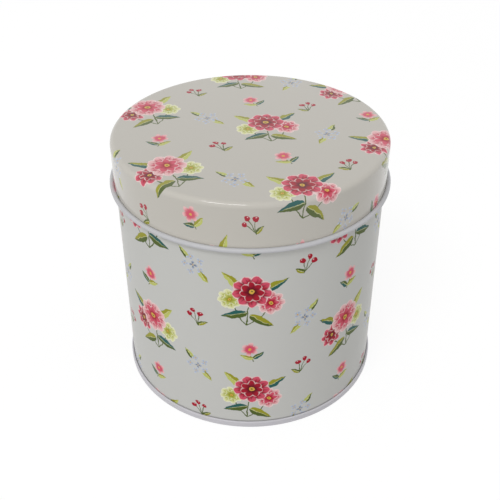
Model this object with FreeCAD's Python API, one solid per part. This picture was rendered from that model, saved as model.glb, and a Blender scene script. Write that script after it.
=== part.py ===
"""A round tea caddy in printed tinplate, in millimetres, +Z up.

Three sheets make it: a wall rolled up and locked along a side seam, a base
double-seamed to the wall's foot, and a drawn lid that slips over the mouth.
The origin is the middle of the ring that the caddy stands on, and the locked
seam is at the back, on +Y.
"""

import FreeCAD
import Part
import math
import os

# Overall sizes
body_diameter = 100.0  # outside of the rolled wall
overall_height = 101.0  # standing ring to the top of the lid

# Tinplate gauges
wall_sheet = 0.23
base_sheet = 0.23
lid_sheet = 0.23

# Slip lid
lid_height = 18.3  # top of the lid to the underside of its curl
lid_clearance = 0.35  # between the skirt and the wall, on the radius
lid_seat_gap = 0.30  # between the lid's top panel and the curled lip
lid_curl_diameter = 1.8  # outside of the curl that ends the skirt
lid_curl_gap = 0.07  # between the curl's cut edge and the skirt

# Curled lip of the wall
lip_curl_diameter = 2.6  # outside of the inward curl
lip_curl_turn = 300.0  # degrees

# Double seam that joins the base to the wall
seam_height = 2.7  # standing plane to the top of the seam
layer_gap = 0.06  # between folded layers of sheet
foot_bend_radius = 0.45  # outside of the two bends of the standing ring

# Recessed base panel
panel_recess = 3.4  # standing plane to the underside of the panel's margin
panel_corner_radius = 1.2  # outside of the bend between panel and chuck wall
ring_diameter = 76.0  # where the pressed ring starts to fall from the middle
ring_step = 0.8  # how far the middle stands above the margin
ring_bend_radius = 1.0  # middle of the sheet, both bends of the ring

# Locked side seam
lock_width = 4.5  # fold to fold
lock_tip_gap = 0.25  # between a hook's tip and the fold that holds it
lock_joggle_radius = 0.5  # middle of the sheet, both bends of the joggle
lock_end_gap = 0.6  # plain wall left clear of the base panel and of the lip

# Radii of the middle of each sheet, from the inside of the double seam outwards
body_radius = body_diameter / 2
wall_mid = body_radius - wall_sheet / 2
chuck_mid = body_radius - wall_sheet - layer_gap - base_sheet / 2
base_hook_mid = body_radius + layer_gap + base_sheet / 2
wall_hook_mid = body_radius + base_sheet + 2 * layer_gap + wall_sheet / 2
seam_mid = wall_hook_mid + wall_sheet / 2 + layer_gap + base_sheet / 2

# The two folds of the double seam: each hook ends level with the other's centre
wall_fold_radius = (wall_hook_mid - wall_mid) / 2
base_fold_radius = (seam_mid - base_hook_mid) / 2
wall_fold_z = base_sheet + layer_gap + wall_sheet / 2 + wall_fold_radius
base_fold_z = seam_height - base_sheet / 2 - base_fold_radius

# The wall's lip, under the lid's top panel
lip_mid_radius = (lip_curl_diameter - wall_sheet) / 2
lip_top = overall_height - lid_sheet - lid_seat_gap
lip_centre_z = lip_top - lip_curl_diameter / 2

# The lid's drawn corner goes round the lip as the skirt goes round the wall
lid_corner_radius = lip_curl_diameter / 2 + lid_clearance + lid_sheet

# The stretch of wall that is locked along the side seam
lock_bottom = panel_recess + base_sheet + lock_end_gap
lock_top = lip_top - lip_curl_diameter - lock_end_gap

Z_AXIS = FreeCAD.Vector(0, 0, 1)
ORIGIN = FreeCAD.Vector(0, 0, 0)
OUTWARDS, UPWARDS, DOWNWARDS = 0.0, 90.0, -90.0  # headings in a vertical section


def run(length):
    """A straight stretch of sheet."""
    return ("run", length, 0.0)


def left(radius, degrees):
    """A bend to the left of the way the sheet is followed."""
    return ("bend", radius, degrees)


def right(radius, degrees):
    """A bend to the right of the way the sheet is followed."""
    return ("bend", radius, -degrees)


def upright(x, y):
    """A section's point in the XZ plane, where x is the distance from the axis."""
    return FreeCAD.Vector(x, 0, y)


def level(x, y):
    """A section's point in the XY plane."""
    return FreeCAD.Vector(x, y, 0)


def direction(degrees):
    angle = math.radians(degrees)
    return math.cos(angle), math.sin(angle)


def sheet_section(start, heading, moves, thickness, plane):
    """The face of a folded sheet, cut across.

    The middle of the sheet is followed from start by runs and bends, and its two
    sides are drawn half a thickness to the left and right of it.
    """
    x, y = start
    sides = {+1: [], -1: []}

    def beside(x, y, heading, side):
        nx, ny = direction(heading + 90)
        return plane(x + side * nx * thickness / 2, y + side * ny * thickness / 2)

    first_cap = [beside(x, y, heading, side) for side in (+1, -1)]
    for kind, size, degrees in moves:
        if kind == "run":
            dx, dy = direction(heading)
            end_x, end_y = x + size * dx, y + size * dy
            for side, edges in sides.items():
                ends = beside(x, y, heading, side), beside(end_x, end_y, heading, side)
                edges.append(Part.LineSegment(*ends).toShape())
            x, y = end_x, end_y
            continue
        turn = math.copysign(1, degrees)
        nx, ny = direction(heading + 90 * turn)
        centre_x, centre_y = x + size * nx, y + size * ny

        def at(share):
            now = heading + degrees * share
            bx, by = direction(now - 90 * turn)
            return centre_x + size * bx, centre_y + size * by, now

        for side, edges in sides.items():
            points = [beside(*at(share), side) for share in (0, 0.5, 1)]
            edges.append(Part.Arc(*points).toShape())
        x, y, heading = at(1)
    last_cap = [beside(x, y, heading, side) for side in (+1, -1)]
    caps = [Part.LineSegment(*cap).toShape() for cap in (first_cap, last_cap)]
    outline = Part.Wire(Part.__sortEdges__(sides[+1] + sides[-1] + caps))
    return Part.Face(outline)


def turned(section):
    """A vertical section turned once round the caddy's axis."""
    return section.revolve(ORIGIN, Z_AXIS, 360)


def locked_strip():
    """The plan of the rolled wall: once round, with its two edges hooked together.

    Four levels of sheet lie in the seam. Level 0 is flush with the wall, and each
    of the others lies one sheet and one gap further in. One edge folds back from
    level 0 to 2, and the other steps in to level 3 and folds back to level 1.
    """
    spacing = wall_sheet + layer_gap
    radius = [wall_mid - spacing * depth for depth in range(4)]
    half_width = math.degrees(lock_width / 2 / wall_mid)
    tip_gap = math.degrees(lock_tip_gap / wall_mid)
    fold_reach = math.degrees((spacing + wall_sheet / 2 + layer_gap) / wall_mid)

    # The joggle is two equal arcs, tangent to level 0, to level 3 and to each other.
    first_centre = radius[0] - lock_joggle_radius
    second_centre = radius[3] + lock_joggle_radius
    cosine = first_centre**2 + second_centre**2 - (2 * lock_joggle_radius) ** 2
    joggle = math.acos(cosine / (2 * first_centre * second_centre))
    along = second_centre * math.sin(joggle)
    inwards = second_centre * math.cos(joggle) - first_centre
    turn_in = math.degrees(math.atan2(along, inwards))
    joggle = math.degrees(joggle)

    seam_middle = UPWARDS  # the polar angle of +Y, at the back
    tip_angle = seam_middle + half_width - tip_gap
    tip_x, tip_y = direction(tip_angle)
    moves = [
        right(radius[2], 2 * half_width - tip_gap),
        left(spacing, 180),
        left(radius[0], 360 - fold_reach - joggle),
        left(lock_joggle_radius, turn_in),
        right(lock_joggle_radius, turn_in - joggle),
        left(radius[3], fold_reach + 2 * half_width),
        right(spacing, 180),
        right(radius[1], 2 * half_width - tip_gap),
    ]
    start = radius[2] * tip_x, radius[2] * tip_y
    return sheet_section(start, tip_angle - 90, moves, wall_sheet, level)


def make_body_wall():
    """The wall: a hooked flange at the foot, the locked stretch and the curled lip."""
    flange_moves = [
        run(base_fold_z - wall_fold_z),
        right(wall_fold_radius, 180),
        run(lock_bottom - wall_fold_z),
    ]
    flange_start = wall_hook_mid, base_fold_z
    flange = turned(sheet_section(flange_start, DOWNWARDS, flange_moves, wall_sheet, upright))

    lip_moves = [run(lip_centre_z - lock_top), left(lip_mid_radius, lip_curl_turn)]
    lip_start = wall_mid, lock_top
    lip = turned(sheet_section(lip_start, UPWARDS, lip_moves, wall_sheet, upright))

    plan = locked_strip()
    plan.translate(Z_AXIS * lock_bottom)
    locked = plan.extrude(Z_AXIS * (lock_top - lock_bottom))
    return locked.fuse([flange, lip]).removeSplitter()


def make_base():
    """The base: a panel with a pressed ring, the chuck wall and the outer hook."""
    foot_mid_radius = foot_bend_radius - base_sheet / 2
    corner_mid_radius = panel_corner_radius - base_sheet / 2
    margin_mid_z = panel_recess + base_sheet / 2
    foot_mid_z = base_sheet / 2

    # The ring is two equal arcs that take the sheet down by its step.
    ring_turn = math.acos(1 - ring_step / (2 * ring_bend_radius))
    ring_reach = 2 * ring_bend_radius * math.sin(ring_turn)
    margin_width = chuck_mid - corner_mid_radius - ring_diameter / 2 - ring_reach

    moves = [
        run(ring_diameter / 2),
        right(ring_bend_radius, math.degrees(ring_turn)),
        left(ring_bend_radius, math.degrees(ring_turn)),
        run(margin_width),
        right(corner_mid_radius, 90),
        run(margin_mid_z - corner_mid_radius - foot_mid_radius - foot_mid_z),
        left(foot_mid_radius, 90),
        run(seam_mid - chuck_mid - 2 * foot_mid_radius),
        left(foot_mid_radius, 90),
        run(base_fold_z - foot_mid_radius - foot_mid_z),
        left(base_fold_radius, 180),
        run(base_fold_z - wall_fold_z),
    ]
    start = 0, margin_mid_z + ring_step
    return turned(sheet_section(start, OUTWARDS, moves, base_sheet, upright))


def make_lid():
    """The lid: one drawn sheet, from the flat top to the outward curl of the skirt."""
    skirt_mid = body_radius + lid_clearance + lid_sheet / 2
    corner_mid_radius = lid_corner_radius - lid_sheet / 2
    curl_mid_radius = (lid_curl_diameter - lid_sheet) / 2
    top_mid_z = overall_height - lid_sheet / 2
    curl_centre_z = overall_height - lid_height + lid_curl_diameter / 2

    # The curl turns past its top until its edge is nearly back at the skirt.
    edge_reach = curl_mid_radius - lid_sheet / 2 - lid_curl_gap
    curl_turn = 270 + math.degrees(math.asin(edge_reach / (lid_curl_diameter / 2)))

    moves = [
        run(skirt_mid - corner_mid_radius),
        right(corner_mid_radius, 90),
        run(top_mid_z - corner_mid_radius - curl_centre_z),
        left(curl_mid_radius, curl_turn),
    ]
    return turned(sheet_section((0, top_mid_z), OUTWARDS, moves, lid_sheet, upright))


def main():
    os.makedirs("parts", exist_ok=True)
    pieces = {"body_wall": make_body_wall(), "base": make_base(), "lid": make_lid()}
    for name, shape in pieces.items():
        shape.exportStep(f"parts/{name}.step")
        box = shape.optimalBoundingBox()
        print(
            f"{name}: {len(shape.Solids)} solid, valid {shape.isValid()}, "
            f"{shape.Volume:.1f} mm3, {box.XLength:.2f} x {box.YLength:.2f} mm, "
            f"z {box.ZMin:.2f} to {box.ZMax:.2f}"
        )


main()
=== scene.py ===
# %% [markdown]
# # A round tea caddy in printed tinplate
# The caddy is three sheets of thin steel: a wall rolled up and locked at the back, a base seamed to its
# foot, and a drawn lid that slips over its mouth. The frame gives each piece's place and outer size.
# This lesson gives every sheet its thickness, its two different faces and its printed enamel.

# %% Load the frame
import math

import bpy
import numpy as np
from mathutils import Euler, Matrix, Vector


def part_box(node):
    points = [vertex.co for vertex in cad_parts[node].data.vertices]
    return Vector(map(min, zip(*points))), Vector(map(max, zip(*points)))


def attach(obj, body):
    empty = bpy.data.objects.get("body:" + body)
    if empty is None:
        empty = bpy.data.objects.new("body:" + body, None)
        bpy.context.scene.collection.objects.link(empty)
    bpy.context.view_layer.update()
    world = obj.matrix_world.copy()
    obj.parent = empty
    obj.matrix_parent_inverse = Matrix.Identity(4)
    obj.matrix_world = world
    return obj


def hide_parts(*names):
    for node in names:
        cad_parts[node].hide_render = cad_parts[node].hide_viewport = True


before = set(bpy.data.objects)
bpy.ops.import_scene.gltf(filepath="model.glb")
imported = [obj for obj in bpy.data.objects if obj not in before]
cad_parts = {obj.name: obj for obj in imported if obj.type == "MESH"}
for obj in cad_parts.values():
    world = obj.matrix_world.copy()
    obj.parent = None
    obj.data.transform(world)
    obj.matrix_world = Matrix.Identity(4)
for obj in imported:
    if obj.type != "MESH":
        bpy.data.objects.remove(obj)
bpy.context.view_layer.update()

MM = 0.001

# %% [markdown]
# ## The camera
# The photograph looks down on the caddy from the front, about a third of a metre away. Matching the
# outlines of the lid and the foot gives the distance, the height and the lens together, because only one
# distance makes the near rim that much wider than the far one. Depth of field stays off.

# %% Camera
EYE = Vector((0.0, -257.2, 231.9)) * MM
AIM = Vector((0.0, 0.0, 49.6)) * MM
LENS, SENSOR = 56.74, 36.0  # in millimetres
SHIFT = (-0.0004, -0.0096)  # in shares of the sensor
NEAREST = 10 * MM


def new_object(name, data):
    """A new object in the scene."""
    made = bpy.data.objects.new(name, data)
    bpy.context.scene.collection.objects.link(made)
    return made


def make_camera():
    data = bpy.data.cameras.new("camera")
    data.lens = LENS
    data.sensor_width = SENSOR
    data.shift_x, data.shift_y = SHIFT
    data.clip_start = NEAREST
    camera = new_object("camera", data)
    camera.location = EYE
    camera.rotation_euler = (AIM - EYE).to_track_quat("-Z", "Y").to_euler()
    bpy.context.scene.camera = camera
    print(f"camera: {(AIM - EYE).length / MM:.0f} mm from its aim")


make_camera()

# %% [markdown]
# ## Maths on sockets
# A node tree is arithmetic drawn as boxes. Wiring it by hand is slow to read, so this class lets Python
# expressions add the Math nodes, in shader trees and in geometry trees alike. Any other node comes from
# `add`, which sets the node's own settings first and then fills or links its sockets.


# %% Wire
class Wire:
    """One output socket of a node tree. Arithmetic on it adds Math nodes to that tree."""

    def __init__(self, tree, socket=None):
        self.tree = tree
        self.socket = socket

    def add(self, kind, sockets=(), output=0, **settings):
        """Adds a node with these settings, then the value or link of each socket, by name or place."""
        node = self.tree.nodes.new(kind)
        count = len(self.tree.nodes)
        node.location = (count // 16 * 200, count % 16 * -160)  # in columns of sixteen
        for name, value in settings.items():
            setattr(node, name, value)
        pairs = sockets.items() if isinstance(sockets, dict) else enumerate(sockets)
        for key, value in pairs:
            if isinstance(value, Wire):
                self.tree.links.new(value.socket, node.inputs[key])
            else:
                node.inputs[key].default_value = value
        return Wire(self.tree, node.outputs[output] if node.outputs else None)

    def also(self, output):
        """Another output of the node that this one belongs to."""
        return Wire(self.tree, self.socket.node.outputs[output])

    def math(self, operation, *values):
        return self.add("ShaderNodeMath", values, operation=operation)

    def vector(self, operation, *values, output=0):
        return self.add("ShaderNodeVectorMath", values, output, operation=operation)

    def parts(self):
        """The x, y and z of a vector."""
        split = self.add("ShaderNodeSeparateXYZ", [self])
        return split, split.also("Y"), split.also("Z")

    def joined(self, x, y, z=0.0):
        """A vector of three values."""
        return self.add("ShaderNodeCombineXYZ", [x, y, z])

    def smooth(self, low, high):
        """A soft step, 0 at low and 1 at high, whichever of them is the larger."""
        sockets = {"Value": self, "From Min": low, "From Max": high}
        return self.add("ShaderNodeMapRange", sockets, interpolation_type="SMOOTHSTEP")

    def mixed(self, one, other, share):
        """One colour turned into the other by a share from 0 to 1."""
        return self.add("ShaderNodeMix", {0: share, 6: one, 7: other}, 2, data_type="RGBA")

    def __add__(self, other):
        return self.math("ADD", self, other)

    def __radd__(self, other):
        return self.math("ADD", other, self)

    def __sub__(self, other):
        return self.math("SUBTRACT", self, other)

    def __rsub__(self, other):
        return self.math("SUBTRACT", other, self)

    def __mul__(self, other):
        return self.math("MULTIPLY", self, other)

    def __rmul__(self, other):
        return self.math("MULTIPLY", other, self)

    def __truediv__(self, other):
        return self.math("DIVIDE", self, other)

    def __rtruediv__(self, other):
        return self.math("DIVIDE", other, self)

    def __mod__(self, other):
        return self.math("FLOORED_MODULO", self, other)

    def __abs__(self):
        return self.math("ABSOLUTE", self)

    def __lt__(self, other):
        return self.math("LESS_THAN", self, other)

    def __gt__(self, other):
        return self.math("GREATER_THAN", self, other)


# %% [markdown]
# ## The studio
# The photograph is a plain product shot: white all round, the lid and the left of the front evenly lit,
# the right side about a fifth darker, and a shade under the lid's rim. A softbox high in front and to the
# left gives the direction, a lower one fills the wall, a weak one behind on the right keeps that edge from
# going dark, and a world of even light does the rest. Only the high one shows in the varnish, as the thin
# bright line along the lid's front edge. The floor is white to the camera and to reflections, and it mixes
# in enough of a real lit surface to keep the caddy's shadow.

# %% World and floor
WHITE = (1.0, 1.0, 1.0, 1.0)
SKY_LEVEL = 0.58  # strength of the world's even light
FLOOR_COLOUR = (0.45, 0.45, 0.45, 1.0)  # keeps the light from below lower than the light from above
FLOOR_SHARE = 0.2  # how much of a white floor's own shading, and so of the shadow, the camera sees
FLOOR_GLOW = 1.06  # makes up for that shading, so that the open floor is as white as the background
FLOOR_RADIUS, FLOOR_SIDES = 3.0, 64


def seen_directly(wire):
    """1 for rays that show the background: from the camera, in reflections or through glass."""
    path = wire.add("ShaderNodeLightPath", output="Is Camera Ray")
    mirrored = path.math("MAXIMUM", path.also("Is Glossy Ray"), path.also("Is Transmission Ray"))
    return path.math("MAXIMUM", path, mirrored)


def make_world():
    world = bpy.data.worlds.new("studio")
    world.use_nodes = True
    world.node_tree.nodes.clear()
    start = Wire(world.node_tree)
    even = start.add("ShaderNodeBackground", {"Color": WHITE, "Strength": SKY_LEVEL})
    white = start.add("ShaderNodeBackground", {"Color": WHITE, "Strength": 1.0})
    shown = start.add("ShaderNodeMixShader", [seen_directly(start), even, white])
    start.add("ShaderNodeOutputWorld", [shown])
    bpy.context.scene.world = world


def make_floor():
    material = bpy.data.materials.new("white floor")
    material.use_nodes = True
    material.node_tree.nodes.clear()
    start = Wire(material.node_tree)
    lit = start.add("ShaderNodeBsdfDiffuse", {"Color": FLOOR_COLOUR})
    white = start.add("ShaderNodeEmission", {"Color": WHITE, "Strength": FLOOR_GLOW})
    shaded = start.add("ShaderNodeBsdfDiffuse", {"Color": WHITE})
    shown = start.add("ShaderNodeMixShader", [FLOOR_SHARE, white, shaded])
    surface = start.add("ShaderNodeMixShader", [seen_directly(start), lit, shown])
    start.add("ShaderNodeOutputMaterial", [surface])
    mesh = bpy.data.meshes.new("floor")
    angles = np.linspace(0, 2 * math.pi, FLOOR_SIDES, endpoint=False)
    rim = [(FLOOR_RADIUS * math.cos(a), FLOOR_RADIUS * math.sin(a), 0) for a in angles]
    mesh.from_pydata(rim, [], [range(len(rim))])
    mesh.materials.append(material)
    floor = new_object("floor", mesh)


bpy.context.scene.view_settings.view_transform = "Standard"
make_world()
make_floor()
print(f"world light {SKY_LEVEL}, floor {2 * FLOOR_RADIUS} m across")

# %% Softboxes
LAMP_DISTANCE = 3.0
LAMP_SIZE = (1.5, 0.6)  # wide and high


def make_softbox(name, azimuth, elevation, watts, mirrored):
    """A lamp that faces the caddy. Its azimuth is 0 in front and grows to the right."""
    data = bpy.data.lights.new(name, "AREA")
    data.shape = "RECTANGLE"
    data.size, data.size_y = LAMP_SIZE
    data.energy = watts
    turn = Euler((math.radians(-elevation), 0.0, math.radians(azimuth)))
    offset = Vector((0.0, -LAMP_DISTANCE, 0.0))
    offset.rotate(turn)
    lamp = new_object(name, data)
    lamp.location = AIM + offset
    lamp.rotation_euler = (-offset).to_track_quat("-Z", "Y").to_euler()
    lamp.visible_glossy = mirrored
    print(f"{name}: {watts} W at", [round(part, 2) for part in lamp.location])


make_softbox("high softbox", azimuth=-25, elevation=52, watts=22.0, mirrored=True)
make_softbox("low softbox", azimuth=-30, elevation=8, watts=17.0, mirrored=False)
make_softbox("edge softbox", azimuth=115, elevation=8, watts=8.5, mirrored=False)

# %% [markdown]
# ## Sizes from the frame
# A tin is worked out from its gauge. The frame's boxes give the outer sizes, and the gauge and the gap
# between folded layers give the rest, as a tinsmith counts layers inwards from the outermost one.

# %% Sizes
SHEET = 0.23 * MM  # gauge of all three sheets
LAYER_GAP = 0.06 * MM  # between folded layers
LAYER = SHEET + LAYER_GAP

SEAM_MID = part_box("base")[1].x - SHEET / 2
WALL_HOOK_MID = SEAM_MID - LAYER
BASE_HOOK_MID = WALL_HOOK_MID - LAYER
WALL_MID = BASE_HOOK_MID - LAYER
CHUCK_MID = WALL_MID - LAYER
WALL_OUTSIDE = WALL_MID + SHEET / 2

SEAM_TOP = 2.7 * MM  # height of the foot's double seam
WALL_FOLD_Z = SHEET + LAYER_GAP + SHEET / 2 + LAYER
BASE_FOLD_Z = SEAM_TOP - SHEET / 2 - LAYER
OUTWARDS, DOWNWARDS = 0.0, -90.0  # headings in a section
print(f"wall: {2 * WALL_OUTSIDE / MM:.2f} mm across")

# %% [markdown]
# ## Sections of folded sheet
# Cut the tin open and each sheet is one line of even thickness: straight runs and bends. Following that
# line like a turtle, by runs and turns, keeps every bend tangent to its neighbours. Each point also keeps
# which way is left of the line, where one of the sheet's two faces is, and how far along it lies, which
# is its place on the flat sheet before it was bent.

# %% Section lines
BEND_STEP = 12.0  # degrees between points of a bend
RUN_STEP = 5.0 * MM  # between points of a run
RUN_GUARD = 0.15 * MM  # an extra point this near to each end keeps the shading of a run flat


def run(length):
    return ("run", length, 0.0)


def left(radius, degrees):
    return ("bend", radius, degrees)


def right(radius, degrees):
    return ("bend", radius, -degrees)


def run_shares(length):
    """Where the points of a run lie, from 0 to 1."""
    inner = np.linspace(RUN_GUARD, length - RUN_GUARD, 2 + int(length / RUN_STEP))
    return [*(inner / length if length > 4 * RUN_GUARD else ()), 1.0]


def follow(start, heading, moves):
    """Points (x, z), leftward directions and distances along a sheet's middle line."""
    x, z = start
    angle = math.radians(heading)
    line = [(x, z, angle, 0.0)]
    for kind, size, degrees in moves:
        far = line[-1][3]
        if kind == "run":
            for share in run_shares(size):
                step = size * share
                line.append((x + step * math.cos(angle), z + step * math.sin(angle), angle, far + step))
        else:
            turn = math.radians(degrees)
            side = math.copysign(size, turn)
            centre_x = x - side * math.sin(angle)
            centre_z = z + side * math.cos(angle)
            for share in np.linspace(0, 1, 1 + math.ceil(abs(degrees) / BEND_STEP))[1:]:
                now = angle + turn * share
                spot = (centre_x + side * math.sin(now), centre_z - side * math.cos(now))
                line.append((*spot, now, far + size * abs(turn) * share))
        x, z, angle, far = line[-1]
    x, z, angle, far = np.array(line).T
    return np.stack([x, z], 1), np.stack([-np.sin(angle), np.cos(angle)], 1), far


# %% [markdown]
# ## The lid's section
# A press draws the lid from one disc: a flat top, a rounded corner, a skirt and an outward curl that hides
# the sharp edge. A bevelled cylinder has no curl, so the whole section is followed as one line.

# %% Lid section
LID_CURL, LIP_CURL = 1.8 * MM, 2.6 * MM  # across the lid's edge curl and the curled lip of the wall
LID_CURL_GAP = 0.07 * MM  # between the lid curl's cut edge and the skirt
LID_CLEARANCE = 0.35 * MM  # skirt to wall, and lid corner to lip
LID_BOTTOM, LID_TOP = (corner.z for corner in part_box("lid"))
LID_CURL_MID = (LID_CURL - SHEET) / 2
LIP_CURL_MID = (LIP_CURL - SHEET) / 2

skirt_mid = WALL_OUTSIDE + LID_CLEARANCE + SHEET / 2
lid_corner = LIP_CURL_MID + SHEET + LID_CLEARANCE
curl_centre_z = LID_BOTTOM + LID_CURL_MID + SHEET / 2
edge_reach = LID_CURL_MID - SHEET / 2 - LID_CURL_GAP
lid_curl_turn = 270 + math.degrees(math.asin(edge_reach / (LID_CURL_MID + SHEET / 2)))
lid_moves = [
    run(skirt_mid - lid_corner),
    right(lid_corner, 90),
    run(LID_TOP - SHEET / 2 - lid_corner - curl_centre_z),
    left(LID_CURL_MID, lid_curl_turn),
]
lid_line = follow((0, LID_TOP - SHEET / 2), OUTWARDS, lid_moves)
print(f"lid: {len(lid_line[0])} points, blank {2 * lid_line[2][-1] / MM:.1f} mm across")

# %% [markdown]
# ## The base's section
# The base is pressed with a stiffening ring, and its rim folds over the wall's flange into the double seam
# that the caddy stands on. A solid band would do from afar, but the fold's round top shows close by.

# %% Base section
FOOT_BEND, PANEL_CORNER = 0.45 * MM, 1.2 * MM  # outside radii
FOOT_BEND_MID = FOOT_BEND - SHEET / 2
PANEL_CORNER_MID = PANEL_CORNER - SHEET / 2
RING_RADIUS = 38.0 * MM  # where the pressed ring starts to fall from the middle
RING_STEP = 0.8 * MM
RING_BEND = 1.0 * MM

panel_mid_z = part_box("base")[1].z - SHEET / 2
margin_mid_z = panel_mid_z - RING_STEP
ring_turn = math.acos(1 - RING_STEP / (2 * RING_BEND))
ring_reach = 2 * RING_BEND * math.sin(ring_turn)
base_moves = [
    run(RING_RADIUS),
    right(RING_BEND, math.degrees(ring_turn)),
    left(RING_BEND, math.degrees(ring_turn)),
    run(CHUCK_MID - PANEL_CORNER_MID - RING_RADIUS - ring_reach),
    right(PANEL_CORNER_MID, 90),
    run(margin_mid_z - PANEL_CORNER_MID - FOOT_BEND_MID - SHEET / 2),
    left(FOOT_BEND_MID, 90),
    run(SEAM_MID - CHUCK_MID - 2 * FOOT_BEND_MID),
    left(FOOT_BEND_MID, 90),
    run(BASE_FOLD_Z - FOOT_BEND_MID - SHEET / 2),
    left(LAYER, 180),
    run(BASE_FOLD_Z - WALL_FOLD_Z),
]
base_line = follow((0, panel_mid_z), OUTWARDS, base_moves)
print(f"base: {len(base_line[0])} points, blank {2 * base_line[2][-1] / MM:.1f} mm across")

# %% [markdown]
# ## The wall's section
# The wall starts in the flange inside that seam, stands straight and ends in a lip curled inwards. Two very
# short runs mark where the side seam starts and stops, clear of the base's panel and of the lip.

# %% Wall section
LIP_CURL_TURN = 300.0  # degrees
LOCK_END_GAP = 0.6 * MM  # plain wall left clear of the base panel and of the lip
LOCK_END_STEP = 0.02 * MM  # the seam starts and stops this abruptly
LIP_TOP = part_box("body_wall")[1].z

lip_centre_z = LIP_TOP - LIP_CURL_MID - SHEET / 2
lock_bottom = margin_mid_z + SHEET / 2 + LOCK_END_GAP
lock_top = lip_centre_z - LIP_CURL_MID - SHEET / 2 - LOCK_END_GAP
flange_moves = [run(BASE_FOLD_Z - WALL_FOLD_Z), right(LAYER, 180)]
wall_moves = flange_moves + [
    run(lock_bottom - WALL_FOLD_Z),
    run(LOCK_END_STEP),
    run(lock_top - lock_bottom - 2 * LOCK_END_STEP),
    run(LOCK_END_STEP),
    run(lip_centre_z - lock_top),
    left(LIP_CURL_MID, LIP_CURL_TURN),
]
flange_line = follow((WALL_HOOK_MID, BASE_FOLD_Z), DOWNWARDS, flange_moves)
wall_line = follow((WALL_HOOK_MID, BASE_FOLD_Z), DOWNWARDS, wall_moves)
print(f"wall: {len(wall_line[0])} points, sheet {wall_line[2][-1] / MM:.1f} mm tall before it was bent")

# The points of the section between the two ends of the side seam
wall_x, wall_z = wall_line[0].T
lock_middle, lock_reach = (lock_bottom + lock_top) / 2, (lock_top - lock_bottom - LOCK_END_STEP) / 2
in_lock = (abs(wall_x - WALL_MID) < LOCK_END_STEP) & (abs(wall_z - lock_middle) < lock_reach)
print(f"side seam: {in_lock.sum()} points of the wall, {(lock_top - lock_bottom) / MM:.1f} mm tall")

# %% [markdown]
# ## The locked side seam
# Seen from above, the wall is a circle whose two edges are hooked together at the back: one edge folds
# back on itself, and the other steps in behind it. From outside that leaves a narrow groove, and from
# inside a flat ridge four sheets thick. The plan of each face is a list of angles and depths, and the same
# number of points on both faces lets them pair up across the sheet.

# %% Plans of the two faces
COLUMNS = 256  # round the tin
LOCK_WIDTH = 4.5 * MM  # between the middles of its folds
LOCK_HALF = LOCK_WIDTH / 2
JOGGLE_BEND = 0.5 * MM  # radius of both bends in the step beside the seam
FOLD_POINTS = 7  # along each bend of the seam
SEAM_CLEAR = 5.0 * MM  # the even columns stop this far from the back

fold_radius = LAYER + SHEET / 2
lock_depth = 3 * LAYER
joggle_start = LOCK_HALF + fold_radius + LAYER_GAP
joggle_turn = math.acos(1 - lock_depth / (2 * JOGGLE_BEND))
joggle_end = joggle_start + 2 * JOGGLE_BEND * math.sin(joggle_turn)


def joggle(low_bend, high_bend):
    """The step in the sheet beside the seam, as distances from the middle of the back and depths."""
    turn = np.linspace(0, joggle_turn, FOLD_POINTS)
    low = np.stack([joggle_start + low_bend * np.sin(turn), lock_depth - low_bend * (1 - np.cos(turn))])
    high = np.stack([joggle_end - high_bend * np.sin(turn), high_bend * (1 - np.cos(turn))])
    return np.concatenate([low[:, 1:], high[:, -2::-1]], 1)


def locked_plans():
    """Angle and depth of the wall's outer and inner face, once round from the middle of the back."""
    turn = np.linspace(0, math.pi / 2, FOLD_POINTS)
    fold_out = LOCK_HALF + fold_radius * np.sin(turn)
    floor = np.array([LOCK_HALF + fold_radius, joggle_start])
    inner_fold = lock_depth - fold_radius * (1 - np.cos(turn))

    # One side of the middle: plain outside, and the ridge's rounded end inside
    edge_x = np.concatenate([[0], fold_out, fold_out[-1:]])
    outer_edge = np.stack([edge_x, np.zeros(len(edge_x))])
    inner_edge = np.stack([edge_x, np.concatenate([[lock_depth], inner_fold, [0]])])

    # The other side: the fold and the groove outside, and the step outside and inside
    step_x = np.concatenate([[0], fold_out, floor])
    fold_depth = np.concatenate([[0], fold_radius * (1 - np.cos(turn)), [lock_depth] * 2])
    full_depth = np.full(len(step_x), lock_depth)
    outer_joggle = joggle(JOGGLE_BEND - SHEET / 2, JOGGLE_BEND + SHEET / 2)
    inner_joggle = joggle(JOGGLE_BEND + SHEET / 2, JOGGLE_BEND - SHEET / 2)
    outer_step = np.concatenate([np.stack([step_x, fold_depth]), outer_joggle], 1)
    inner_step = np.concatenate([np.stack([step_x, full_depth]), inner_joggle], 1)

    clear = SEAM_CLEAR / WALL_MID
    even = np.linspace(clear - math.pi, math.pi - clear, COLUMNS)
    plans = []
    for edge, step in ((outer_edge, outer_step), (inner_edge, inner_step)):
        angle = np.concatenate([edge[0] / WALL_MID - math.pi, even, math.pi - step[0, ::-1] / WALL_MID])
        depth = np.concatenate([edge[1], np.zeros(COLUMNS), step[1, ::-1]])
        plans.append(np.stack([angle, depth], 1))
    return plans


even_plan = np.stack([np.linspace(-math.pi, math.pi, COLUMNS + 1), np.zeros(COLUMNS + 1)], 1)
outer_plan, inner_plan = locked_plans()
print(f"seam: {len(outer_plan) - COLUMNS} extra columns, groove {lock_depth / MM:.2f} mm deep")

# %% [markdown]
# ## Turning a sheet round the axis
# A lathe is the natural tool: one section, turned. Blender's Screw modifier would do that, but a sheet has
# two faces with different finishes and, on the wall, a seam that breaks the circle. So a Geometry Nodes
# tree lays a flat grid along the section's one face and back along the other, and moves each point to its
# place. Rows follow the section, columns go round, and the section and plans come in as named inputs.


# %% Points of a turned sheet
def points_in(geometry):
    return geometry.add("GeometryNodeAttributeDomainSize", [geometry], "Point Count")


def attribute(wire, name):
    return wire.add("GeometryNodeInputNamedAttribute", {"Name": name}, data_type="FLOAT_VECTOR")


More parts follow.
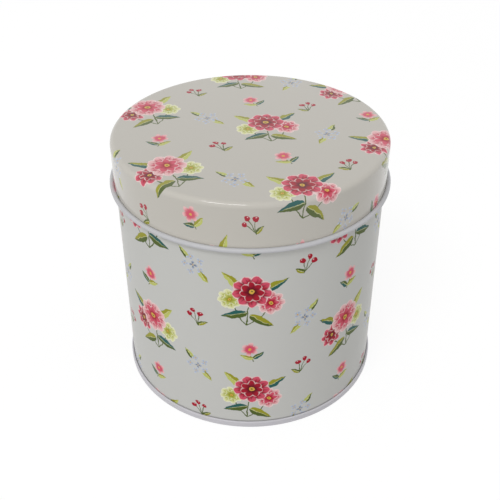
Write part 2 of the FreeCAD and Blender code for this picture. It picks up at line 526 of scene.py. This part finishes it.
def sampled(geometry, value, index):
    """A vector that one point of some geometry has."""
    sockets = {"Geometry": geometry, "Value": value, "Index": index}
    return geometry.add("GeometryNodeSampleIndex", sockets, data_type="FLOAT_VECTOR")


def sheet_spot(given, section, plans, row, column):
    """Where a grid point goes, by its row and column, and its angle round the axis."""
    count = points_in(section)
    around = row % (2 * count)
    index = around.math("MINIMUM", around, 2 * count - 1 - around)
    is_outer = around < count
    position = given.add("GeometryNodeInputPosition")
    middle_x, _, middle_z = sampled(section, position, index).parts()
    left_x, _, left_z = sampled(section, attribute(given, "left"), index).parts()
    locked, _, _ = sampled(section, attribute(given, "locked"), index).parts()
    outer, inner = (sampled(plan, position, column) for plan in plans)
    sides = {"Switch": is_outer, "False": inner, "True": outer}
    angle, depth, _ = given.add("GeometryNodeSwitch", sides, input_type="VECTOR").parts()

    side = (2 * is_outer - 1) * (2 * given.also("Outside is left") - 1)
    offset = side * given.also("Thickness") / 2
    radius = middle_x + left_x * offset - depth * locked
    rightwards, forwards = radius * angle.math("SINE", angle), radius * angle.math("COSINE", angle)
    return given.joined(rightwards, 0 - forwards, middle_z + left_z * offset), angle


# %% Turned sheet tree
MERGE_DISTANCE = 0.002 * MM
SHARP_ANGLE = math.radians(40)
SHEET_INPUTS = {
    "Section": "NodeSocketObject",
    "Outer plan": "NodeSocketObject",
    "Inner plan": "NodeSocketObject",
    "Thickness": "NodeSocketFloat",
    "Outside is left": "NodeSocketBool",
    "Start is cut": "NodeSocketBool",
    "Outside finish": "NodeSocketMaterial",
    "Inside finish": "NodeSocketMaterial",
    "Edge finish": "NodeSocketMaterial",
}


def finished(given, sheet, count):
    """The sheet with its finishes outside, inside and on the cut edges."""
    # A face's row is the mean of its corners' rows, so it tells the two faces and the cut edges apart
    _, row, _ = attribute(given, "place").parts()
    end_cut = row.math("COMPARE", row, count - 0.5, 0.25)
    cut = end_cut.math("MAXIMUM", end_cut, row > 2 * count - 1)
    sheet = given.add("GeometryNodeRealizeInstances", [sheet])
    for finish, chosen in (("Outside", True), ("Inside", row > count), ("Edge", cut)):
        sheet = given.add("GeometryNodeSetMaterial", [sheet, chosen, given.also(f"{finish} finish")])
    return sheet


def turned_sheet_tree():
    tree = bpy.data.node_groups.new("Turned sheet", "GeometryNodeTree")
    for name, kind in SHEET_INPUTS.items():
        tree.interface.new_socket(name=name, in_out="INPUT", socket_type=kind)
    tree.interface.new_socket(name="Sheet", in_out="OUTPUT", socket_type="NodeSocketGeometry")
    given = Wire(tree).add("NodeGroupInput")
    section, *plans = (
        given.add("GeometryNodeObjectInfo", {"Object": given.also(name)}, "Geometry")
        for name in ("Section", "Outer plan", "Inner plan")
    )
    count, columns = points_in(section), points_in(plans[0])
    rows = 2 * count + given.also("Start is cut")

    # A grid with a step of one, so that a point's place is its column and row
    size = {"Size X": columns - 1, "Size Y": rows - 1, "Vertices X": columns, "Vertices Y": rows}
    grid = given.add("GeometryNodeMeshGrid", size)
    across, upward, _ = given.add("GeometryNodeInputPosition").parts()
    column = across.math("ROUND", across + (columns - 1) / 2)
    row = upward.math("ROUND", upward + (rows - 1) / 2)
    spot, angle = sheet_spot(given, section, plans, row, column)

    stored = {"Geometry": grid, "Name": "place", "Value": given.joined(angle, row)}
    sheet = given.add("GeometryNodeStoreNamedAttribute", stored, data_type="FLOAT2", domain="CORNER")
    sheet = given.add("GeometryNodeSetPosition", {"Geometry": sheet, "Position": spot})
    sheet = given.add("GeometryNodeMergeByDistance", {"Geometry": sheet, "Distance": MERGE_DISTANCE})
    flipped = {"Mesh": sheet, "Selection": given.also("Outside is left")}
    sheet = given.add("GeometryNodeFlipFaces", flipped)
    sheet = given.add("GeometryNodeSetShadeSmooth", {"Geometry": sheet, "Shade Smooth": True})
    gentle = given.add("GeometryNodeInputMeshEdgeAngle") < SHARP_ANGLE
    smooth = {"Geometry": sheet, "Shade Smooth": gentle}
    sheet = given.add("GeometryNodeSetShadeSmooth", smooth, domain="EDGE")
    given.add("NodeGroupOutput", [finished(given, sheet, count)])
    return tree


sheet_tree = turned_sheet_tree()
sheet_inputs = {item.name: item.identifier for item in sheet_tree.interface.items_tree}
print(f"turned sheet tree: {len(sheet_tree.nodes)} nodes")


# %% Sheet pieces
def helper(name, points, **attributes):
    """A scratch object with one vertex per point and vector attributes, for the tree to read."""
    mesh = bpy.data.meshes.new(name)
    mesh.from_pydata(points, [], [])
    for key, values in attributes.items():
        mesh.attributes.new(key, "FLOAT_VECTOR", "POINT").data.foreach_set("vector", np.ravel(values))
    return new_object(name, mesh)


def in_space(pairs, second):
    """Pairs of numbers as points in space, the second of each pair along y or z."""
    points = np.zeros((len(pairs), 3))
    points[:, 0] = pairs[:, 0]
    points[:, "xyz".index(second)] = pairs[:, 1]
    return points


def turned_sheet(name, line, finishes, outside_is_left=False, plans=(even_plan, even_plan), locked=1.0):
    """A plain mesh object made by the turned sheet tree.

    Finishes are those outside, inside and on the cut edges. The plans' depths count where locked is 1.
    """
    points, leftward, _ = line
    start_is_cut = bool(points[0, 0] > 0)  # a sheet that starts on the axis has no edge there
    mask = np.ones((len(points), 3)) * np.reshape(locked, (-1, 1))
    section = helper("section", in_space(points, "z"), left=in_space(leftward, "z"), locked=mask)
    outer, inner = (helper("plan", in_space(plan, "y")) for plan in plans)
    values = (section, outer, inner, SHEET, outside_is_left, start_is_cut, *finishes)
    piece = new_object(name, bpy.data.meshes.new(name))
    modifier = piece.modifiers.new("turned sheet", "NODES")
    modifier.node_group = sheet_tree
    for key, value in zip(SHEET_INPUTS, values):
        modifier[sheet_inputs[key]] = value
    depsgraph = bpy.context.evaluated_depsgraph_get()
    evaluated = piece.evaluated_get(depsgraph)
    mesh = bpy.data.meshes.new_from_object(evaluated, preserve_all_data_layers=True, depsgraph=depsgraph)
    piece.modifiers.remove(modifier)
    piece.data = mesh
    mesh.name = name
    mesh.materials.pop(index=0)  # the empty slot that the grid came with
    for scratch in (section, outer, inner):
        bpy.data.objects.remove(scratch)
    return piece


# %% [markdown]
# ## Inks and brush marks
# The tin is printed before it is bent, so the pattern belongs to the flat sheet. It could be a picture, but
# then it would have one size and one sharpness. Drawn with maths, each petal, leaf and stem is a distance
# to an outline, in millimetres on the flat sheet, and stays sharp at any size. Inks go down one over
# another, as on a press.

# %% Inks
INK_EDGE = 0.16  # width of an ink's soft edge, in millimetres like every size of the print


def ink(red, green, blue):
    """A colour given as it shows on a screen, in linear values."""
    shares = [value / 255 for value in (red, green, blue)]
    return (*(s / 12.92 if s <= 0.04045 else ((s + 0.055) / 1.055) ** 2.4 for s in shares), 1.0)


WALL_GROUND, LID_GROUND = ink(207, 207, 203), ink(201, 197, 188)
CRIMSON, DEEP_RED = ink(172, 20, 44), ink(100, 8, 28)
ROSE, BLUSH, SHELL = ink(218, 84, 108), ink(242, 194, 194), ink(248, 228, 224)
OLIVE, LIME, CREAM, STRAW = ink(158, 156, 44), ink(196, 202, 108), ink(232, 232, 178), ink(242, 242, 216)
TEAL, MOSS, HONEY = ink(40, 96, 92), ink(84, 100, 40), ink(226, 178, 76)
MIST, SLATE, HAZE = ink(178, 188, 208), ink(126, 138, 158), ink(206, 212, 224)

# Each bloom has four inks: heart, body, outer petals and rims
RED_BLOOM = (DEEP_RED, CRIMSON, ROSE, SHELL)
PINK_BLOOM = (CRIMSON, ROSE, BLUSH, SHELL)
GREEN_BLOOM = (OLIVE, LIME, CREAM, STRAW)
print("wall ground in linear values:", [round(part, 3) for part in WALL_GROUND[:3]])


# %% Laying inks
class Print:
    """The colour of the sheet so far. Each ink covers what is under it."""

    def __init__(self, colour):
        self.colour = colour

    def lay(self, colour, cover):
        self.colour = cover.mixed(self.colour, colour, cover)


def solid(distance):
    """How much an ink covers, by the distance inside its outline."""
    return distance.smooth(0.0, INK_EDGE)


def framed(spot, at, degrees=0.0, scale=1.0):
    """A spot on the sheet as seen from a motif that stands at a place, turned and scaled."""
    sockets = {
        "Vector": spot,
        "Location": (*at, 0.0),
        "Rotation": (0.0, 0.0, math.radians(degrees)),
        "Scale": (scale, scale, scale),
    }
    return spot.add("ShaderNodeMapping", sockets, vector_type="TEXTURE")


# %% Stems and leaves
LEAF_FULLNESS = 1.3  # brings a leaf's widest place to the width that is asked for
VEIN_SLANT = 1.1  # how far a vein runs along the leaf for each step aside
VEIN_RATE = 5.2  # radians of the veins' wave to the millimetre
VEIN_DEPTH = 0.22  # how far a vein moves the border between dark and light
TONE_EDGE = 0.15  # half the width of that border
RIB_HALF = 0.18  # half the width of the pale middle rib
RIB_COVER = 0.75


def stem(sheet, spot, start, end, bow, width):
    """A thin stem that bows to one side between two places."""
    reach = math.dist(start, end)
    degrees = math.degrees(math.atan2(end[1] - start[1], end[0] - start[0]))
    along, aside, _ = framed(spot, start, degrees).parts()
    share = along / reach
    bend = share * (1 - share) * (4 * bow)
    half = share.math("COMPARE", share, 0.5, 0.5) * ((width + INK_EDGE) / 2)
    sheet.lay(MOSS, solid(half - abs(aside - bend)))


def leaf(sheet, spot, at, degrees, length, width, dark, light):
    """A pointed leaf, dark on one half and light on the other, with side veins between them."""
    along, aside, _ = framed(spot, at, degrees).parts()
    share = along / length
    off = abs(aside)
    inside = solid(share.math("SQRT", share) * (1 - share) * (LEAF_FULLNESS * width) - off)
    veins = (along - off * VEIN_SLANT) * VEIN_RATE
    tone = (aside + veins.math("SINE", veins) * VEIN_DEPTH).smooth(-TONE_EDGE, TONE_EDGE)
    sheet.lay(tone.mixed(dark, light, tone), inside)
    sheet.lay(CREAM, off.smooth(RIB_HALF, 0.02) * inside * share.smooth(0.9, 0.6) * RIB_COVER)


# %% Flowers and berries
STREAK_RATE = 11  # radians of the streaks' wave from a petal's middle to its side


def folded(spot, count):
    """A spot turned into the first of so many equal sectors, as distances along and beside its middle."""
    x, y, _ = spot.parts()
    reach = spot.vector("LENGTH", spot, output="Value")
    angle = y.math("ARCTAN2", y, x)
    angle = angle.math("WRAP", angle, math.pi / count, -math.pi / count)
    return reach * angle.math("COSINE", angle), reach * angle.math("SINE", angle)


def petals(spot, count, inner, outer, width):
    """Distance inside the nearest petal, how far out along it and how far across it."""
    along, aside = folded(spot, count)
    share = (along - inner) / (outer - inner)
    flare = share * 0.5 + 0.62  # a petal is wider towards its tip
    half = share.math("SQRT", share * (1 - share)) * flare * width
    return half - abs(aside), share, aside * (2 / width)


def bloom(sheet, spot, at, degrees, size, inks, counts):
    """A double flower: a wide ring of streaked petals, a smaller ring on it and a honey heart."""
    heart, body, outer, rim = inks
    spot = framed(spot, at, degrees)

    # The wide ring, its streaks and its pale rims
    edge, share, across = petals(spot, counts[0], inner=0.08 * size, outer=0.5 * size, width=0.37 * size)
    inside = solid(edge)
    tone = (across * 0.25 + share).smooth(0.35, 0.85)
    sheet.lay(tone.mixed(body, outer, tone), inside)
    streaks = across * STREAK_RATE
    streaks = streaks.math("COSINE", streaks).smooth(0.2, 0.9) * share.smooth(0.95, 0.45)
    sheet.lay(heart, inside * streaks * 0.75)
    sheet.lay(rim, inside * edge.smooth(0.95, 0.2) * share.smooth(0.4, 0.75) * 0.9)

    # The smaller ring and the heart
    edge, share, across = petals(spot, counts[1], inner=0.0, outer=0.31 * size, width=0.26 * size)
    inside = solid(edge)
    tone = (across * 0.2 + share).smooth(0.2, 0.75)
    sheet.lay(tone.mixed(heart, body, tone), inside)
    sheet.lay(rim, inside * edge.smooth(0.65, 0.15) * share.smooth(0.45, 0.75) * 0.85)
    reach = spot.vector("LENGTH", spot, output="Value")
    for colour, radius in ((heart, 0.115), (HONEY, 0.075), (MOSS, 0.03)):
        sheet.lay(colour, solid(radius * size - reach))


def small_flower(sheet, spot, size, inks, count):
    """A flower with one ring of petals, paler towards their tips."""
    heart, body, outer = inks
    edge, share, _ = petals(spot, count, inner=0.04 * size, outer=0.5 * size, width=0.36 * size)
    tone = share.smooth(0.35, 0.9)
    sheet.lay(tone.mixed(body, outer, tone), solid(edge))
    sheet.lay(heart, solid(0.1 * size - spot.vector("LENGTH", spot, output="Value")))


def berry(sheet, spot, at, size):
    """A red berry with a pale shine."""
    shine_at = (at[0] - size / 6, at[1] + size / 6, 0.0)
    for colour, middle, radius in ((CRIMSON, (*at, 0.0), size / 2), (BLUSH, shine_at, size / 7)):
        sheet.lay(colour, solid(radius - spot.vector("DISTANCE", spot, middle, output="Value")))


# %% [markdown]
# ## Motifs and their repeat
# Small posies on a pale ground are an old kind of print for tins and cotton. This one is laid out as a
# plain half-drop repeat: columns of posies, every second column moved down by half a step and mirrored,
# with small fillings in the gaps. A whole, even number of columns goes round the wall, so the pattern meets
# itself at the side seam.

# %% Motifs
FLORET = 2.7  # across one tiny flower, and from the middle one to the ring round it


def posy(sheet, spot, main, second):
    """Three blooms on bowed stems, with four leaves."""
    foot = (0.6, -10.5)
    for end, bow in (((-6.0, 0.5), 1.2), ((6.8, 0.5), -1.4), ((0.0, 2.0), 0.5)):
        stem(sheet, spot, foot, end, bow, width=0.42)
    leaf(sheet, spot, at=(-0.4, -5.2), degrees=203, length=9.0, width=3.4, dark=TEAL, light=MOSS)
    leaf(sheet, spot, at=(0.9, -6.2), degrees=-24, length=9.5, width=3.6, dark=MOSS, light=OLIVE)
    leaf(sheet, spot, at=(-4.0, 4.6), degrees=144, length=8.6, width=3.4, dark=OLIVE, light=LIME)
    leaf(sheet, spot, at=(4.2, 4.6), degrees=38, length=9.0, width=3.4, dark=TEAL, light=OLIVE)
    bloom(sheet, spot, at=(6.9, -0.2), degrees=8, size=9.6, inks=second, counts=(8, 6))
    bloom(sheet, spot, at=(-6.6, -0.8), degrees=20, size=8.4, inks=GREEN_BLOOM, counts=(8, 6))
    bloom(sheet, spot, at=(0.0, 3.6), degrees=0, size=13.2, inks=main, counts=(9, 7))


def sprig(sheet, spot):
    """A pink flower over two leaves."""
    stem(sheet, spot, start=(0.3, -5.5), end=(0.0, 0.0), bow=0.4, width=0.35)
    leaf(sheet, spot, at=(0.2, -4.2), degrees=150, length=5.4, width=2.2, dark=OLIVE, light=LIME)
    leaf(sheet, spot, at=(0.2, -4.2), degrees=28, length=5.4, width=2.2, dark=TEAL, light=MOSS)
    turned = framed(spot, at=(0.0, 0.6), degrees=10)
    small_flower(sheet, turned, size=6.4, inks=(HONEY, ROSE, BLUSH), count=6)


def berries(sheet, spot):
    """Three berries on thin stalks, with one leaf."""
    leaf(sheet, spot, at=(0.0, -3.0), degrees=160, length=4.0, width=1.8, dark=MOSS, light=OLIVE)
    for place in ((-2.0, 1.3), (2.0, 1.5), (0.1, 2.9)):
        stem(sheet, spot, start=(0.0, -3.4), end=place, bow=0.15 * place[0], width=0.28)
        berry(sheet, spot, at=place, size=2.0)


def florets(sheet, spot):
    """Five tiny flowers round a sixth, between two leaves."""
    leaf(sheet, spot, at=(1.5, 2.0), degrees=52, length=4.6, width=2.0, dark=MOSS, light=LIME)
    leaf(sheet, spot, at=(-1.5, -2.0), degrees=230, length=4.6, width=2.0, dark=OLIVE, light=LIME)
    along, aside = folded(spot, 5)
    ring = spot.joined(along - FLORET, aside)
    small_flower(sheet, ring, size=FLORET, inks=(HONEY, MIST, HAZE), count=4)
    small_flower(sheet, spot, size=FLORET, inks=(HONEY, SLATE, MIST), count=4)


# %% Floral print
PITCH = 2 * math.pi * WALL_OUTSIDE / MM / 8  # eight columns round the wall
DROP = 46.0
# Each filling's place from the posy's, in shares of a step, its turn in degrees and its scale
FILLINGS = (
    (sprig, (0.0, 0.5), 12, 1.0),
    (berries, (0.5, 0.27), -15, 1.1),
    (florets, (0.5, -0.23), 0, 1.2),
)


def half_drop(spot, steps, degrees, scale):
    """The spot as a motif of the repeat sees it, mirrored in odd columns, and 1 in those columns."""
    x, y, _ = spot.vector("SUBTRACT", spot, (steps[0] * PITCH, steps[1] * DROP, 0.0)).parts()
    column = x.math("ROUND", x / PITCH)
    odd = column % 2
    y = y + odd * (DROP / 2)
    x = (x - column * PITCH) * (1 - 2 * odd)
    cell = spot.joined(x, y.math("WRAP", y, DROP / 2, -DROP / 2))
    return framed(cell, (0.0, 0.0), degrees, scale), odd


def floral_print():
    """A node group that gives the printed colour of a spot on the flat sheet, in millimetres."""
    tree = bpy.data.node_groups.new("Floral print", "ShaderNodeTree")
    tree.interface.new_socket(name="Spot", in_out="INPUT", socket_type="NodeSocketVector")
    tree.interface.new_socket(name="Ground", in_out="INPUT", socket_type="NodeSocketColor")
    tree.interface.new_socket(name="Colour", in_out="OUTPUT", socket_type="NodeSocketColor")
    spot = Wire(tree).add("NodeGroupInput")
    sheet = Print(spot.also("Ground"))

    # A slow and a quick wander of the outlines, as a brush makes them
    for scale, reach in ((0.45, 0.9), (1.6, 0.3)):
        noise = spot.add("ShaderNodeTexNoise", {"Vector": spot, "Scale": scale, "Detail": 0.0}, "Color")
        shift = noise.vector("SUBTRACT", noise, (0.5, 0.5, 0.5))
        spot = spot.vector("MULTIPLY_ADD", shift, (reach, reach, 0.0), spot)

    cell, odd = half_drop(spot, steps=(0.0, 0.0), degrees=-9, scale=1.05)
    main = [odd.mixed(one, other, odd) for one, other in zip(RED_BLOOM, PINK_BLOOM)]
    second = [odd.mixed(one, other, odd) for one, other in zip(PINK_BLOOM, RED_BLOOM)]
    posy(sheet, cell, main, second)
    for filling, steps, degrees, scale in FILLINGS:
        cell, _ = half_drop(spot, steps, degrees, scale)
        filling(sheet, cell)
    spot.add("NodeGroupOutput", [sheet.colour])
    return tree


print_tree = floral_print()
print(f"floral print: {len(print_tree.nodes)} nodes")

# %% [markdown]
# ## Finishes
# Every coat on a tin is a little uneven: a faint orange peel, a sheet that isn't quite flat, and gloss that
# varies from place to place. Noise on the flat sheet, in grains to the millimetre, gives all three.

# %% Finish helpers
PEEL_GRAIN = 0.9  # grains of the orange peel to the millimetre


def new_finish(name):
    """A material, its shader, and the place on the flat sheet in millimetres."""
    material = bpy.data.materials.new(name)
    material.use_nodes = True
    flat = Wire(material.node_tree).add("ShaderNodeUVMap", uv_map="flat")
    spot = flat.add("ShaderNodeVectorMath", {"Vector": flat, "Scale": 1 / MM}, operation="SCALE")
    return material, material.node_tree.nodes["Principled BSDF"], spot


def feed(shader, sockets):
    """Sets or links the shader's sockets."""
    for name, value in sockets.items():
        if isinstance(value, Wire):
            value.tree.links.new(value.socket, shader.inputs[name])
        else:
            shader.inputs[name].default_value = value


def noise_at(spot, scale, detail=2.0):
    """Noise with so many grains to the millimetre, from 0 to 1."""
    return spot.add("ShaderNodeTexNoise", {"Vector": spot, "Scale": scale, "Detail": detail})


def bumped(spot, *layers):
    """A normal for heights that are given with their depth in millimetres."""
    height = 0.0
    for layer, depth in layers:
        height = layer * depth + height
    return spot.add("ShaderNodeBump", {"Height": height, "Distance": MM, "Strength": 1.0}, "Normal")


# %% [markdown]
# ## Printed enamel
# The wall and the lid have one print under a clear varnish, on two grounds, so one function makes both. The
# varnish is the shader's coat, which reflects by itself over matt inks. A thin dark line of painted shade
# lies on the wall in the corner just above its foot seam.

# %% Printed enamel
INK_GLOSS = 0.03  # the varnish over the inks does nearly all of the reflecting
OFF_SHEET = 500.0  # millimetres, beyond any of the sheets
WALL_PRINT_TOP = 96.0  # the wall is plain above this height, near its lip
# Painted shade: a dark ink laid on the wall in the corner just above the foot seam, where shade falls
PAINTED_SHADE = ink(100, 98, 102)
PAINTED_SHADE_SHARE = 0.36  # how much of it covers the enamel in the corner above the seam
PAINTED_SHADE_RISE = 0.6  # how far it reaches up from the seam
PAINTED_SHADE_FADE = 0.75  # over which height it thins out


def printed_enamel(name, ground, turn, shift, varnish, plain_from=OFF_SHEET, painted_shade_to=-OFF_SHEET):
    """Printed tinplate. The pattern is turned and shifted; it is plain above one height and has painted
    shade below another.
    """
    material, shader, spot = new_finish(name)
    placed = framed(spot, shift, turn)
    colour = placed.add("ShaderNodeGroup", {"Spot": placed, "Ground": ground}, node_tree=print_tree)
    _, up, _ = spot.parts()
    colour = up.mixed(colour, ground, up.smooth(plain_from, plain_from + INK_EDGE))
    # Painted shade: the wall's colour darkens towards the foot seam
    colour = up.mixed(colour, PAINTED_SHADE, up.smooth(painted_shade_to, painted_shade_to - PAINTED_SHADE_FADE) * PAINTED_SHADE_SHARE)
    waves = noise_at(spot, scale=0.035)
    peel = noise_at(spot, PEEL_GRAIN)
    feed(shader, {
        "Base Color": colour,
        "Roughness": noise_at(spot, scale=0.12) * 0.1 + 0.33,
        "Normal": bumped(spot, (waves, 0.05), (peel, 0.0012)),
        "Specular IOR Level": INK_GLOSS,
        "Coat Weight": varnish,
        "Coat Roughness": 0.05,
    })
    return material


wall_enamel = printed_enamel(
    "printed wall enamel",
    WALL_GROUND,
    turn=0.0,
    shift=(0.0, 16.0),
    varnish=0.2,
    plain_from=WALL_PRINT_TOP,
    painted_shade_to=SEAM_TOP / MM + PAINTED_SHADE_RISE,
)
lid_enamel = printed_enamel("printed lid enamel", LID_GROUND, turn=14.0, shift=(6.0, 2.0), varnish=0.85)
print("printed:", [finish.name for finish in (wall_enamel, lid_enamel)])

# %% [markdown]
# ## Plain finishes
# White enamel covers the faces that curl or fold into view and clear lacquer the bare tin inside. Cut edges
# are bare steel. Stretched noise draws the tin's rolling lines, which a plain metal wouldn't show.


# %% Plain finishes
def plain_enamel(name, dark, light):
    """Enamel with no print, a little cloudy between two close colours."""
    material, shader, spot = new_finish(name)
    cloud = noise_at(spot, scale=0.1)
    feed(shader, {
        "Base Color": cloud.mixed(dark, light, cloud),
        "Roughness": noise_at(spot, scale=0.3) * 0.1 + 0.36,
        "Normal": bumped(spot, (noise_at(spot, PEEL_GRAIN), 0.0015)),
        "Specular IOR Level": 0.3,
        "Coat Weight": 0.1,
        "Coat Roughness": 0.15,
    })
    return material


def clear_lacquer():
    """Bare tin under clear lacquer, with fine lines from the rolling of the sheet."""
    material, shader, spot = new_finish("lacquered tin")
    stretched = spot.vector("MULTIPLY", spot, (0.06, 2.5, 1.0))
    lines = noise_at(stretched, scale=1.0, detail=3.0)
    cloud = noise_at(spot, scale=0.08)
    waves = noise_at(spot, scale=0.05)
    feed(shader, {
        "Base Color": cloud.mixed(ink(204, 199, 186), ink(214, 210, 200), cloud),
        "Metallic": 1.0,
        "Roughness": lines * 0.16 + 0.24,
        "Normal": bumped(spot, (lines, 0.0008), (waves, 0.04)),
    })
    return material


def sheared_steel():
    """Bare steel where the sheet was cut, a little grainy."""
    material, shader, spot = new_finish("cut edge")
    grain = noise_at(spot, scale=1.5)
    feed(shader, {
        "Base Color": grain.mixed(ink(150, 148, 146), ink(186, 184, 182), grain),
        "Metallic": 1.0,
        "Roughness": grain * 0.2 + 0.35,
    })
    return material


base_white = plain_enamel("base enamel", ink(205, 203, 209), ink(210, 208, 213))
lid_white = plain_enamel("lid enamel", ink(197, 197, 200), ink(201, 201, 204))
lacquered_tin = clear_lacquer()
cut_edge = sheared_steel()
print("plain:", [finish.name for finish in (base_white, lid_white, lacquered_tin, cut_edge)])

# %% [markdown]
# ## The three sheets
# Each sheet takes its section and its finishes, and the wall its plans too. The tree's result is kept as a
# plain mesh, because the maps that follow are written corner by corner.

# %% Make the three sheets
wall = turned_sheet(
    "caddy_wall",
    wall_line,
    finishes=(wall_enamel, lacquered_tin, cut_edge),
    plans=(outer_plan, inner_plan),
    locked=in_lock,
)
base = turned_sheet("caddy_base", base_line, finishes=(base_white, lacquered_tin, cut_edge))
lid = turned_sheet("caddy_lid", lid_line, finishes=(lid_enamel, lid_white, cut_edge), outside_is_left=True)
for piece in (wall, base, lid):
    print(piece.name, len(piece.data.polygons), "faces", [m.name for m in piece.data.materials])

# %% [markdown]
# ## Maps
# Two maps go on each sheet. The first says where a corner lay on the flat sheet, and the print reads it:
# the wall unrolls into a strip, and the lid and the base flatten into discs. The second is for baking the
# finishes into one picture: each face of the sheet has a place of its own there, and nothing overlaps.

# %% Map helpers
PAD = 0.012  # left free round each patch of the baked picture, whose side is 1
EDGE_LENGTH = 0.2  # of a cut edge's strip on that picture


def corner_facts(piece, line):
    """Per corner: angle round the axis, distance along the section, row, its face's angle and finish.

    Rows are counted from the cut edge at the section's end, whose two sides are rows 0 and 1.
    """
    mesh = piece.data
    place = np.empty(2 * len(mesh.loops))
    mesh.uv_layers["place"].uv.foreach_get("vector", place)
    angle, row = place.reshape(-1, 2).T
    count = len(line[0])
    around = np.rint(row).astype(int) % (2 * count)
    along = line[2][np.minimum(around, 2 * count - 1 - around)]
    sizes = np.empty(len(mesh.polygons), int)
    mesh.polygons.foreach_get("loop_total", sizes)
    finish = np.empty(len(mesh.polygons), int)
    mesh.polygons.foreach_get("material_index", finish)
    face = np.repeat(np.arange(len(sizes)), sizes)
    face_angle = np.bincount(face, angle) / sizes
    return angle, along, row - count + 1, face_angle[face], finish[face]


def set_maps(piece, **maps):
    """Puts the maps in the place of the one that the tree made."""
    layers = piece.data.uv_layers
    layers.remove(layers["place"])
    for name, spots in maps.items():
        layers.new(name=name).uv.foreach_set("vector", np.stack(spots, 1).astype(np.float32).ravel())
    layers.active = layers["flat"]
    layers["flat"].active_render = True
    print(piece.name, "maps:", [layer.name for layer in layers])


# %% Map of the wall
WALL_EDGES_FROM, WALL_EDGE_WIDTH = 0.85, 0.05  # of its two cut edges' strips


def map_wall(piece, line, straight_from):
    """The wall's maps. On the flat one the standing wall's heights are those above the floor."""
    angle, along, row, face_angle, finish = corner_facts(piece, line)
    along = along - straight_from
    half_round = math.pi * WALL_OUTSIDE
    low, high = along.min(), along.max()
    scale = (0.5 - 2 * PAD) / (high - low)

    # The outside in two strips, front and back, so that neither is long and thin
    back = abs(face_angle) > math.pi / 2
    across = WALL_OUTSIDE * angle - half_round * back * np.sign(face_angle)
    baked_u = PAD + (across + half_round / 2) * scale
    baked_v = PAD + (along - low) * scale + 0.5 * back

    # The inside stands on end beside them, and the cut edges above it, the start's over the end's
    share = (angle + math.pi) / (2 * math.pi)
    inside_scale = (1 - 3 * PAD - half_round * scale) / (high - low)
    inside_u = 1 - PAD - (along - low) * inside_scale
    inside_v = PAD + share * 2 * half_round * inside_scale
    edge_u = 1 - PAD - share * EDGE_LENGTH
    edge_row = np.where(row > 1.5, row - len(line[0]) + 1.5, row)
    edge_v = WALL_EDGES_FROM + WALL_EDGE_WIDTH * edge_row
    baked = (
        np.choose(finish, [baked_u, inside_u, edge_u]),
        np.choose(finish, [baked_v, inside_v, edge_v]),
    )
    set_maps(piece, flat=(WALL_OUTSIDE * angle, along), OFBake=baked)


map_wall(wall, wall_line, straight_from=flange_line[2][-1] - WALL_FOLD_Z)

# %% Maps of the discs
DISC_EDGE_WIDTH = 0.03  # of the cut edge's strip


def map_disc(piece, line, outside_share):
    """The maps of a round sheet. Its outside takes this share of the baked picture's diagonal."""
    angle, along, row, _, finish = corner_facts(piece, line)
    flat = along * np.sin(angle), -along * np.cos(angle)
    room = math.sqrt(2) / (1 + math.sqrt(2)) - 2 * PAD  # two discs in opposite corners of the picture
    outside, inside = room * outside_share, room * (1 - outside_share)
    unit_x, unit_y = (part / along.max() for part in flat)
    edge_u = PAD + EDGE_LENGTH * (angle + math.pi) / (2 * math.pi)
    edge_v = 1 - PAD - DISC_EDGE_WIDTH * row
    baked = (
        np.choose(finish, [PAD + outside * (1 + unit_x), 1 - PAD - inside * (1 - unit_x), edge_u]),
        np.choose(finish, [PAD + outside * (1 + unit_y), 1 - PAD - inside * (1 - unit_y), edge_v]),
    )
    set_maps(piece, flat=flat, OFBake=baked)


map_disc(base, base_line, outside_share=0.5)
map_disc(lid, lid_line, outside_share=0.65)

# %% [markdown]
# ## Hand over
# The wall and the base stay with the caddy, and the lid rides on its own body and lifts off.

# %% Hand over
for piece, body, node, slot in (
    (wall, "caddy", "body_wall", "wall_enamel"),
    (base, "caddy", "base", "base_lacquer"),
    (lid, "lid", "lid", "lid_enamel"),
):
    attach(piece, body)
    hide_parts(node)
    print(piece.name, "rides on", body)
